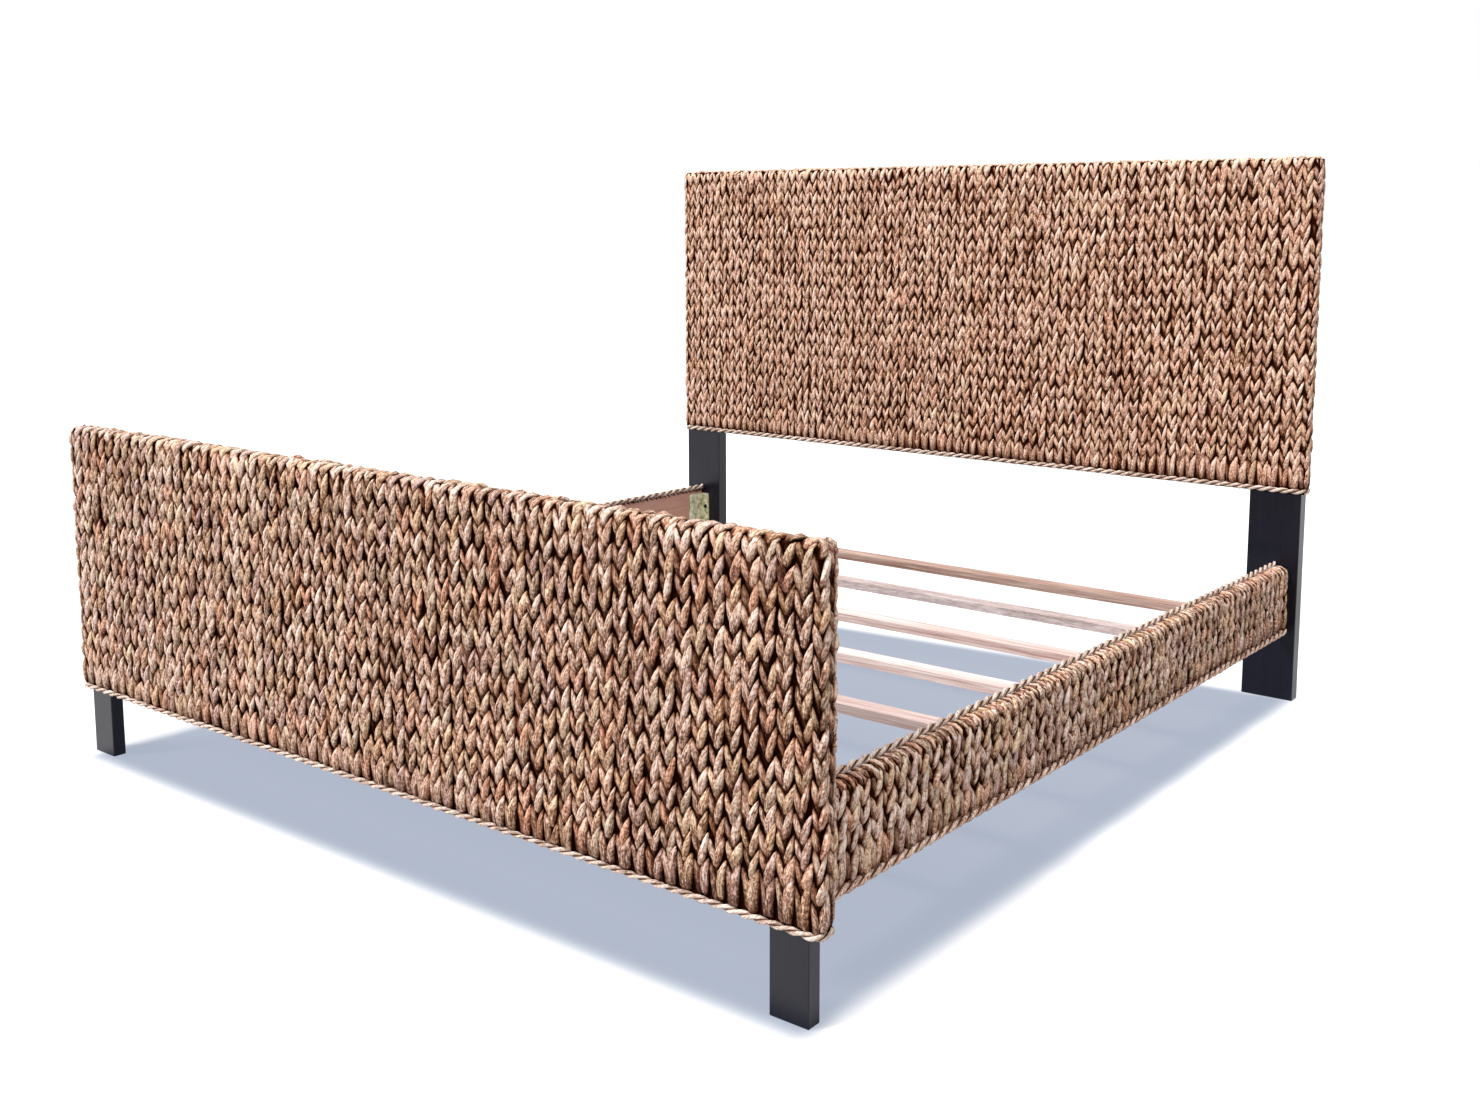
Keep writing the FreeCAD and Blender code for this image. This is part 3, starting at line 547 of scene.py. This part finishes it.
def weavePanel(title, panel, look, node, windows=()):
    random = np.random.default_rng(look["seed"])
    r = panel["round"]
    flatHalf = panel["halfWidth"] - r
    rise = panel["top"] - r - panel["base"]
    thickness = panel["back"] - panel["front"]
    over = 2 * rise + math.pi * r + thickness - 2 * r
    columns = evenColumns(-flatHalf, flatHalf, look["column"])
    share = math.ceil(len(columns) / look["pieces"])
    fadeFrom, fadeTo = rise - plait["topMargin"], over - rise + plait["topMargin"]

    def place(s, v, n):
        return easeCorners(panel, overPanel(panel, s, v, n))

    def placeEnd(s, v, n):
        return easeCorners(panel, aroundPanel(panel, s, v, n))

    for part in range(look["pieces"]):
        group = columns[part * share:(part + 1) * share]
        rows = plaitRows(group, look, 0, over, random)
        # painted light over the top, and painted shade drifting along the panel
        rows[:, 4] += plait["paintedTopLight"] * ((rows[:, 1] > fadeFrom) & (rows[:, 1] < fadeTo))
        rows[:, 4] += look["paintedShadeDrift"] * rows[:, 0] / 1000
        for low, high, bottom, top in windows:  # no plaits on the back where a side rail meets it
            back = rows[:, 1] > rise + math.pi * r + thickness - 2 * r
            backZ = panel["base"] + (over - rows[:, 1])
            blocked = back & (rows[:, 0] > low) & (rows[:, 0] < high) & (backZ > bottom) & (backZ < top)
            rows = rows[~blocked]
        layPlaits(f"{title}_plaits_{part + 1}", rows, look, place, random, node)
    quarter = math.pi * r / 2
    endRun = 2 * quarter + thickness - 2 * r
    half = endRun / 2
    rows = []
    for start in (flatHalf, 3 * flatHalf + endRun):  # two columns of stitches on each end
        ends = [(start + half / 2, half), (start + 1.5 * half, half)]
        rows.append(plaitRows(ends, look, 0, rise + quarter * plait["endReach"], random))
        rows[-1][:, 4] += look["endTone"]
    layPlaits(f"{title}_end_plaits", np.concatenate(rows), look, placeEnd, random, node)


# Thin leaves laid side by side over a rail's top, in mm, drawn coarser than the real ones so that they show.
wrap = {
    "step": 10.6, "width": 10.6, "thick": 11.0, "length": 64.0, "slant": -2.0, "proud": 2.6,
    "sides": 6, "rings": 7,
    "lower": 2.4, "darker": 0.16,  # every second one lies lower, and is drawn darker as painted shade
    "reach": 2.0, "endGap": 4.0,  # past the inner edge of the top, and short of the rail's two ends
    "taper": ([-1, -0.7, 0, 0.7, 1], [0.45, 0.95, 1.1, 1.0, 0.7]),
    "tuck": ([-1, -0.7, -0.2, 0.7, 1], [-0.5, -0.15, 0, 0, -0.8]),  # of the thickness
    "widthChance": (0.22, 0.5, 1.6), "lengthChance": 5.0, "placeChance": 1.4,
    "liftChance": 0.8, "liftLimits": (-2, 1),
    "curl": 1.2, "curlTurn": 3.0, "curlChance": 3.0,
    "tone": 0.66, "toneChance": 0.08, "toneRise": 0.08,
    # painted shade: a wrap is drawn darker the deeper it lies
    "fullDepth": 1.2, "darkDepth": 0.34,
}


def wrapRailTop(name, rail, ends, over, random, node):
    count = round((ends[1] - ends[0]) / wrap["step"])
    mesh, template = spindles(count, wrap["sides"], wrap["rings"])
    t = template[None, :, 2]
    share = (t + 1) / 2  # of the way from the outer face to the inner edge
    taper = np.interp(t, *wrap["taper"])
    across = template[None, :, 0] * wrap["width"] / 2 * taper * varied(random, count, *wrap["widthChance"])
    up = -template[None, :, 1] * wrap["thick"] / 2 * taper
    low = over - wrap["length"] + jitter(random, count, wrap["lengthChance"])
    v = low + (over + wrap["reach"] - low) * (t + 1) / 2
    start = np.linspace(ends[0] + wrap["endGap"], ends[1] - wrap["endGap"], count)[:, None]
    start = start + jitter(random, count, wrap["placeChance"])
    curl = wrap["curl"] * np.sin(wrap["curlTurn"] * t + jitter(random, count, wrap["curlChance"]))
    s = start + wrap["slant"] * share ** 1.5 + across + curl
    tuck = np.interp(t, *wrap["tuck"]) * wrap["thick"]
    second = (np.arange(count)[:, None] % 2).astype(float)
    lift = np.clip(jitter(random, count, wrap["liftChance"]), *wrap["liftLimits"])
    n = wrap["proud"] - wrap["thick"] / 2 + up + tuck + lift - wrap["lower"] * second
    veins = random.uniform(0, chance["veinPlaces"], (count, 1))
    path = np.stack([across, v + 0 * across, veins + 0 * across], -1)
    # painted shade: the deeper a wrap lies, the darker it is drawn
    openness = 1 + (n - wrap["proud"] + wrap["fullDepth"]) / (wrap["darkDepth"] * wrap["thick"])
    openness = np.clip(openness, 0, 1)
    shade = wrap["tone"] + jitter(random, count, wrap["toneChance"]) + wrap["toneRise"] * t
    # painted shade on every second wrap, which lies lower
    shade = shade - wrap["darker"] * second
    hue = random.uniform(0, 1, (count, 1))
    tone = np.stack([shade + 0 * across, openness, hue + 0 * across], -1)
    finishPiece(name, mesh, overRail(rail, s, v, n), path, tone, plaitedHyacinth, "woven_fibre", node)


# What every twisted rope shares: its two plies fill a round of the rope's size, and vary slowly along it.
ropeShape = {
    "ply": 0.55, "offset": 0.45,  # a ply's radius and its distance from the rope's middle, in rope radii
    "swellStops": 200, "swellChance": 0.07,
    "tone": 0.6, "toneStops": 90, "toneChance": 0.1, "pliesDiffer": 0.04,
    "darkDepth": 0.45,  # painted shade: plies are drawn darker towards the rope's middle, fully dark at this many ply radii from it
}


def twistedRope(name, length, rope, place, node, seed):
    random = np.random.default_rng(seed)
    turns = round(length / rope["lay"])
    lay = length / turns
    bm = bmesh.new()
    for ply in range(2):
        turned = Matrix.Rotation(math.pi * ply, 4, "X") @ Matrix.Translation((0, 0, rope["offset"]))
        ring = bmesh.ops.create_circle(bm, segments=rope["sides"], radius=rope["ply"],
                                       matrix=turned @ Matrix.Rotation(math.pi / 2, 4, "Y"))
        edges = list({e for vert in ring["verts"] for e in vert.link_edges})
        bmesh.ops.spin(bm, geom=ring["verts"] + edges, cent=(0, 0, 0), axis=(1, 0, 0),
                       dvec=(lay / rope["steps"], 0, 0), angle=rope["hand"] * 2 * math.pi,
                       steps=rope["steps"], use_merge=False)
    oneTurn = bpy.data.meshes.new("oneTurn")
    bm.to_mesh(oneTurn)
    for _ in range(turns - 1):  # one turn is repeated along the rope and welded to the last
        bmesh.ops.translate(bm, vec=(lay, 0, 0), verts=bm.verts)
        bm.from_mesh(oneTurn)
    bpy.data.meshes.remove(oneTurn)
    bmesh.ops.remove_doubles(bm, verts=bm.verts, dist=0.01)
    bmesh.ops.holes_fill(bm, edges=[e for e in bm.edges if e.is_boundary])
    bmesh.ops.recalc_face_normals(bm, faces=bm.faces)
    mesh = bpy.data.meshes.new(name)
    bm.to_mesh(mesh)
    bm.free()
    points = np.empty(len(mesh.vertices) * 3)
    mesh.vertices.foreach_get("co", points)
    points = points.reshape(-1, 3)
    x = points[:, 0]
    angle = rope["hand"] * x / lay * 2 * math.pi
    centre = np.stack([-np.sin(angle), np.cos(angle)], -1) * rope["offset"]
    nearOne = np.linalg.norm(points[:, 1:] - centre, axis=1)
    nearOther = np.linalg.norm(points[:, 1:] + centre, axis=1)
    first = nearOne < nearOther
    centre = np.where(first[:, None], centre, -centre)
    spoke = points[:, 1:] - centre
    stops = ropeShape["swellStops"]
    swell = np.interp(x, np.linspace(0, length, stops), random.normal(1.0, ropeShape["swellChance"], stops))
    spoke = spoke * swell[:, None]
    points[:, 1:] = centre + spoke
    facing = np.arctan2(spoke[:, 0] * centre[:, 1] - spoke[:, 1] * centre[:, 0], (spoke * centre).sum(1))
    n = rope["middle"] + points[:, 1] * rope["flat"]
    v = rope["height"] + points[:, 2]
    path = np.stack([facing * rope["ply"], x, np.where(first, 0.0, 50.0)], -1)
    stops = ropeShape["toneStops"]
    slow = random.normal(ropeShape["tone"], ropeShape["toneChance"], stops)
    slow = np.interp(x, np.linspace(0, length, stops), slow)
    differ = np.where(first, ropeShape["pliesDiffer"], -ropeShape["pliesDiffer"])
    outwards = np.linalg.norm(points[:, 1:], axis=1)
    # painted shade: darker towards the rope's middle, where the plies twist together
    openness = np.clip((outwards - ropeShape["darkDepth"] * rope["ply"]) / rope["ply"], 0, 1)
    tone = np.stack([slow + differ, openness, 0 * x], -1)
    finishPiece(name, mesh, place(x, v, n), path, tone, rope["finish"], "fibre_rope", node)


def sizedRope(rope, radius, height, finish):
    return dict(rope, ply=radius * ropeShape["ply"], offset=radius * ropeShape["offset"], height=height,
                finish=finish)


def panelRope(name, panel, rope, node, seed):
    r = panel["round"]
    around = 4 * (panel["halfWidth"] - r) + 4 * ((panel["back"] - panel["front"]) / 2 - r) + 2 * math.pi * r
    radius = (panel["base"] - panel["ropeBase"]) / 2
    size = sizedRope(rope, radius, -radius, twistedHyacinth)
    twistedRope(name, around, size, lambda s, v, n: aroundPanel(panel, s, v, n), node, seed)


shadeSheet = {"thickness": 0.8, "segments": 4, "panelRound": 1.0, "railRound": 6.0, "gap": 1.0}  # the dark sheet of painted shade, in mm


def shadeSheetBox(name, low, high, rounding, node):  # the dark sheet of painted shade under the plaits: a shell, open below
    bm = bmesh.new()
    bmesh.ops.create_cube(bm, size=1)
    bmesh.ops.scale(bm, vec=high - low, verts=bm.verts)
    bmesh.ops.translate(bm, vec=(high + low) / 2, verts=bm.verts)
    bmesh.ops.delete(bm, geom=[f for f in bm.faces if f.normal.z < -0.5], context="FACES_ONLY")
    rim = [e for e in bm.edges if not e.is_boundary]
    bmesh.ops.bevel(bm, geom=rim, offset=rounding, segments=shadeSheet["segments"], profile=0.5, affect="EDGES",
                    material=-1, clamp_overlap=True)
    bmesh.ops.solidify(bm, geom=bm.faces[:], thickness=shadeSheet["thickness"])
    bmesh.ops.scale(bm, vec=(mm, mm, mm), verts=bm.verts)
    mesh = bpy.data.meshes.new(name)
    bm.to_mesh(mesh)
    bm.free()
    mesh.materials.append(darkShadeSheet)
    piece = bpy.data.objects.new(name, mesh)
    bpy.context.collection.objects.link(piece)
    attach(piece, "root")
    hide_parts(node)


def panelCore(name, panel, node):
    inset = panel["depth"]
    low = Vector((inset - panel["halfWidth"], panel["front"] + inset, panel["ropeBase"] + shadeSheet["gap"]))
    high = Vector((panel["halfWidth"] - inset, panel["back"] - inset, panel["top"] - inset))
    shadeSheetBox(name, low, high, shadeSheet["panelRound"], node)


print("headboard weave")
headLook = {
    "seed": 11, "column": 28.6, "pitch": 36.6, "thick": 8.0,  # a stitch's width, height and thickness in mm
    "armShare": 0.455, "tone": 0.655, "paintedShadeDrift": 0.0, "endTone": 0.0,
    "coreDepth": 5.6,  # mm from the solid's face in to the dark sheet of painted shade
    "finish": warmHyacinth, "pieces": 5, "sides": 8, "rings": 7,
}
headPanel = panelFrom("headboard_woven_cover", "headboard_rope_trim", headLook["coreDepth"], headTrimRope)
weavePanel("headboard", headPanel, headLook, "headboard_woven_cover")
panelCore("headboard_shade_sheet", headPanel, "headboard_woven_cover")
panelRope("headboard_rope", headPanel, headTrimRope, "headboard_rope_trim", 21)

print("footboard weave")
footLook = {
    "seed": 12, "column": 34.4, "pitch": 38.2, "thick": 11.0,
    "armShare": 0.445, "tone": 0.55, "endTone": 0.06,
    "paintedShadeDrift": -0.055,  # painted shade: leaves are drawn darker to the right, by this much each metre
    "coreDepth": 9.6,
    "finish": plaitedHyacinth, "pieces": 3, "sides": 8, "rings": 7,
    "railAt": 1005, "railHalf": 34, "railLow": 170, "railHigh": 362,  # where the rails meet its back
}
footPanel = panelFrom("footboard_woven_cover", "footboard_rope_trim", footLook["coreDepth"], trimRope)
railWindows = [(side * footLook["railAt"] - footLook["railHalf"],
                side * footLook["railAt"] + footLook["railHalf"],
                footLook["railLow"], footLook["railHigh"]) for side in (-1, 1)]
weavePanel("footboard", footPanel, footLook, "footboard_woven_cover", railWindows)
panelCore("footboard_shade_sheet", footPanel, "footboard_woven_cover")
panelRope("footboard_rope", footPanel, trimRope, "footboard_rope_trim", 22)

print("side rails")
railLook = {
    "seed": 13, "column": 34.0, "pitch": 34.5, "thick": 11.5,
    # painted shade: the drift below draws the rail's leaves darker along it, by this much each metre
    "armShare": 0.45, "tone": 0.61, "paintedShadeDrift": -0.085,
    "round": 18.0, "short": 24, "wrapsPast": 5,  # plaits end short of the top's inner edge, wraps go past it
    "coreInset": 1, "coreOut": 2.4, "coreUp": 1.5,  # the dark sheet of painted shade: in the cover, and past the board
    "finish": plaitedHyacinth, "sides": 8, "rings": 7,
}
# The ropes along a rail's two edges look as thick as in the photo once their plies are swelled and moved.
railRope = {
    "swell": 1.3, "moved": {"top": (2.5, 3.0), "bottom": (0.0, -1.0)},  # outwards and upwards, in mm
    "seeds": {"top": 31, "bottom": 33},
    "lay": 66.0, "steps": 14, "sides": 9, "hand": 1, "flat": 1.0, "middle": 0.0,
}


def weaveRail(side, end):
    cover = f"side_rail_woven_cover_{end}"
    low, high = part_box(cover)
    inner, outer = sorted((abs(low.x) / mm, abs(high.x) / mm))
    rail = {"side": side, "outer": outer, "inner": inner, "base": low.z / mm, "top": high.z / mm,
            "round": railLook["round"]}
    random = np.random.default_rng(railLook["seed"] + side)
    rise = rail["top"] - rail["round"] - rail["base"]
    over = rise + math.pi * rail["round"] / 2 + rail["outer"] - rail["inner"] - rail["round"]
    ends = sorted((side * low.y / mm, side * high.y / mm))
    columns = evenColumns(*ends, railLook["column"])
    rows = plaitRows(columns, railLook, 0, over - railLook["short"], random)
    # painted shade, drawn darker along the rail
    rows[:, 4] += railLook["paintedShadeDrift"] * rows[:, 0] / 1000

    def place(s, v, n):
        return overRail(rail, s, v, n)

    layPlaits(f"side_rail_plaits_{end}", rows, railLook, place, random, cover)
    wrapRailTop(f"side_rail_top_wraps_{end}", rail, ends, over + railLook["wrapsPast"], random, cover)
    boardLow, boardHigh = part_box(f"side_rail_board_{end}")
    boardOuter = max(abs(boardLow.x), abs(boardHigh.x)) / mm
    near, far = sorted((side * (inner + railLook["coreInset"]), side * (boardOuter + railLook["coreOut"])))
    gap = shadeSheet["gap"]
    coreLow = Vector((near, low.y / mm + gap, low.z / mm + gap))
    coreHigh = Vector((far, high.y / mm - gap, boardHigh.z / mm + railLook["coreUp"]))
    shadeSheetBox(f"side_rail_shade_sheet_{end}", coreLow, coreHigh, shadeSheet["railRound"], cover)
    for edge, seed in railRope["seeds"].items():
        ropeAlongRail(side, end, edge, seed + side)


def ropeAlongRail(side, end, edge, seed):
    node = f"side_rail_{edge}_rope_{end}"
    low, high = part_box(node)
    outwards, upwards = railRope["moved"][edge]
    middle = (low + high) / 2 / mm + Vector((side * outwards, 0, upwards))
    radius = (high.z - low.z) / 2 / mm * railRope["swell"]
    size = sizedRope(railRope, radius, 0.0, twistedHyacinth if edge == "top" else plaitedHyacinth)

    def place(s, v, n):
        return np.stack([middle.x + n, low.y / mm + s, middle.z + v], -1)

    twistedRope(f"side_rail_twisted_{edge}_rope_{end}", (high.y - low.y) / mm, size, place, node, seed)


weaveRail(1, "right")
weaveRail(-1, "left")

print("camera")
photo = {"width": 1480, "height": 1101, "focal": 1491.1, "centreX": 859.1, "centreY": 435.3}  # pixels
viewpoint = {"place": (2.3542, -2.7617, 1.2019), "yaw": -35.53, "pitch": 7.466, "roll": 0.532}
yaw, pitch, roll = (math.radians(viewpoint[k]) for k in ("yaw", "pitch", "roll"))
forward = Vector((math.sin(yaw) * math.cos(pitch), math.cos(yaw) * math.cos(pitch), -math.sin(pitch)))
levelRight = Vector((math.cos(yaw), -math.sin(yaw), 0))
levelUp = levelRight.cross(forward)
right = levelRight * math.cos(roll) + levelUp * math.sin(roll)
up = levelUp * math.cos(roll) - levelRight * math.sin(roll)
lens = bpy.data.cameras.new("photoCamera")
lens.sensor_fit = "HORIZONTAL"
lens.sensor_width = 36
lens.lens = lens.sensor_width * photo["focal"] / photo["width"]
lens.shift_x = (photo["width"] / 2 - photo["centreX"]) / photo["width"]
lens.shift_y = (photo["centreY"] - photo["height"] / 2) / photo["width"]
lens.clip_end = 200
camera = bpy.data.objects.new("photoCamera", lens)
turn = Matrix((right, up, -forward)).transposed()
camera.matrix_world = Matrix.Translation(viewpoint["place"]) @ turn.to_4x4()
bpy.context.collection.objects.link(camera)
bpy.context.scene.camera = camera

print("floor and light")
studio = {
    "floorHalf": 60,  # metres
    "floorPaint": [(0.3, "#BABABC"), (0.7, "#BEBEC0")], "floorMottle": 333.0, "floorRoughness": 0.9,
    "shadePaint": "#3E3E40",  # the floor in the painted shadow under the bed
    "shadeGlow": "#A9B2C3", "farGlow": "#D3D3D3",  # added for the camera, in the painted shadow and around it
    "shadeLow": (-1.03, -1.09), "shadeHigh": (1.07, 0.94),  # the pool's two corners, in metres
    "shadeSlant": 0.1, "shadeSoft": 0.045,
    "sky": 0.36, "skyColour": "#F9FCFF",
}
# Each lamp's strength, the angle in degrees that its light comes from, and the way to it.
lamps = {
    "overhead": (2.0, 9.0, (0.10, -0.12, 1.0)),
    "key": (3.3, 16.0, (-0.45, -0.64, 0.62)),
    "fill": (0.4, 30.0, (0.62, -0.48, 0.62)),
}


def seenOrMirrored(tree):  # 1 where the camera looks, straight or in metal and glass, and 0 for other light
    rays = addNode(tree, "LightPath").outputs
    mirrored = addNode(tree, "Math", [(0, rays["Is Glossy Ray"]), (1, rays["Is Transmission Ray"])],
                       operation="MAXIMUM")
    return addNode(tree, "Math", [(0, rays["Is Camera Ray"]), (1, mirrored)], operation="MAXIMUM")


def makeFloor():
    bm = bmesh.new()
    bmesh.ops.create_grid(bm, x_segments=1, y_segments=1, size=studio["floorHalf"])
    mesh = bpy.data.meshes.new("studio_floor")
    bm.to_mesh(mesh)
    bm.free()
    floor = bpy.data.objects.new("studio_floor", mesh)
    bpy.context.collection.objects.link(floor)
    material, tree = newMaterial("paintedStudioFloor", "#BCBCBE")
    coordinates = addNode(tree, "TexCoord").outputs["Object"]
    mottle = addNode(tree, "TexNoise", [("Vector", coordinates), ("Scale", 1000 / studio["floorMottle"])])
    lit = addNode(tree, "ValToRGB", [("Fac", mottle)], studio["floorPaint"])
    place = addNode(tree, "SeparateXYZ", [(0, coordinates)])
    x, y = place.outputs[0], place.outputs[1]
    slanted = addNode(tree, "Math", [(0, x), (1, -studio["shadeSlant"]), (2, y)], operation="MULTIPLY_ADD")
    (left, front), (right, back) = studio["shadeLow"], studio["shadeHigh"]
    edges = [(x, left, 1), (x, right, -1), (y, front, 1), (slanted, back, -1)]
    soft = studio["shadeSoft"]
    pool = 1.0
    for across, edge, way in edges:  # the painted shadow under the bed, soft at its edges
        fade = addNode(tree, "MapRange", [(0, across), (1, edge - way * soft), (2, edge + way * soft)],
                       interpolation_type="SMOOTHERSTEP")
        pool = addNode(tree, "Math", [(0, fade), (1, pool)], operation="MULTIPLY")
    paint = addNode(tree, "Mix", [(0, pool), (6, lit), (7, srgb(studio["shadePaint"]))], data_type="RGBA")
    shader = addNode(tree, "BsdfPrincipled", [("Base Color", paint.outputs[2]), ("Specular IOR Level", 0.0),
                                              ("Roughness", studio["floorRoughness"])])
    glowTone = addNode(tree, "Mix", [(0, pool), (6, srgb(studio["farGlow"])), (7, srgb(studio["shadeGlow"]))],
                       data_type="RGBA")
    glow = addNode(tree, "Emission", [("Color", glowTone.outputs[2]), ("Strength", seenOrMirrored(tree))])
    both = addNode(tree, "AddShader", [(0, shader), (1, glow)])
    addNode(tree, "OutputMaterial", [("Surface", both)])
    mesh.materials.append(material)


def makeLight():
    world = bpy.data.worlds.new("studio")
    bpy.context.scene.world = world
    world.use_nodes = True
    tree = world.node_tree
    tree.nodes.clear()
    ambient = addNode(tree, "Background", [("Color", srgb(studio["skyColour"])), ("Strength", studio["sky"])])
    plain = addNode(tree, "Background", [("Color", srgb("#FFFFFF")), ("Strength", 1.0)])
    mixed = addNode(tree, "MixShader", [(0, seenOrMirrored(tree)), (1, ambient), (2, plain)])
    addNode(tree, "OutputWorld", [("Surface", mixed)])
    for name, (strength, spread, towards) in lamps.items():
        lamp = bpy.data.lights.new(name + "Light", "SUN")
        lamp.energy = strength
        lamp.angle = math.radians(spread)
        sun = bpy.data.objects.new(name + "Light", lamp)
        sun.rotation_euler = Vector(towards).to_track_quat("Z", "Y").to_euler()
        bpy.context.collection.objects.link(sun)


makeFloor()
makeLight()
bpy.context.scene.view_settings.view_transform = "Standard"
